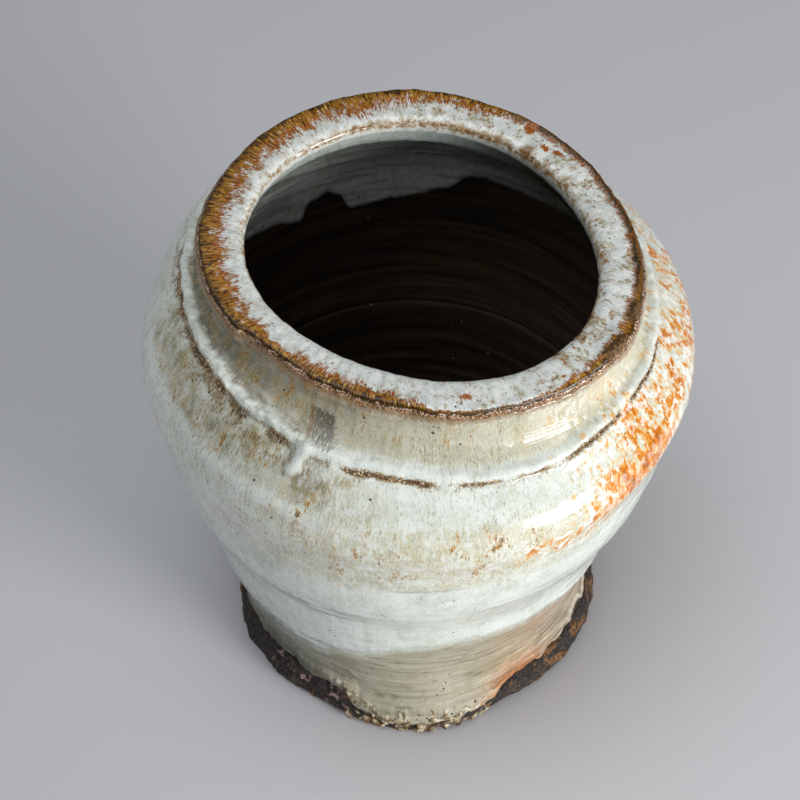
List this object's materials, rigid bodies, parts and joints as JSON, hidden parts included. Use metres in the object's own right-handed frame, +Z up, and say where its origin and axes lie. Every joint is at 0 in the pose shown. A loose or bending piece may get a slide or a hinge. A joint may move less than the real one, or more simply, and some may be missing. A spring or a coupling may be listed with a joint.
{
  "type": "tsubo jar",
  "caption": "Squat glazed stoneware storage jar with a broad flat mouth ring, a lapped collar, a swelling shoulder and a rough slab foot.",
  "frame": {"origin": "middle of the foot's flat underside, on the ground", "axes": "+Z up out of the mouth, -Y the front of the jar as pictured, +X its right-hand side"},
  "size_m": [0.199, 0.199, 0.1783],
  "materials": {
    "bare_clay": "unglazed dark brown stoneware, gritty and scorched",
    "body_clay": "unglazed brown stoneware with throwing rings",
    "rim_clay": "gritty brown edge with a thin burnt glaze",
    "body_glaze": "glossy milky straw-ash glaze with ochre streaks and rust patches",
    "mouth_glaze": "glossy bluish-white straw-ash glaze, breaking to ochre at the edge"
  },
  "bodies": {
    "root": {"foot_slab": "bare_clay", "lower_wall": "body_clay", "shoulder_wall": "body_clay", "neck_collar": "body_clay", "mouth_ring": "rim_clay", "body_glaze": "body_glaze", "mouth_glaze": "mouth_glaze"}
  },
  "joints": []
}
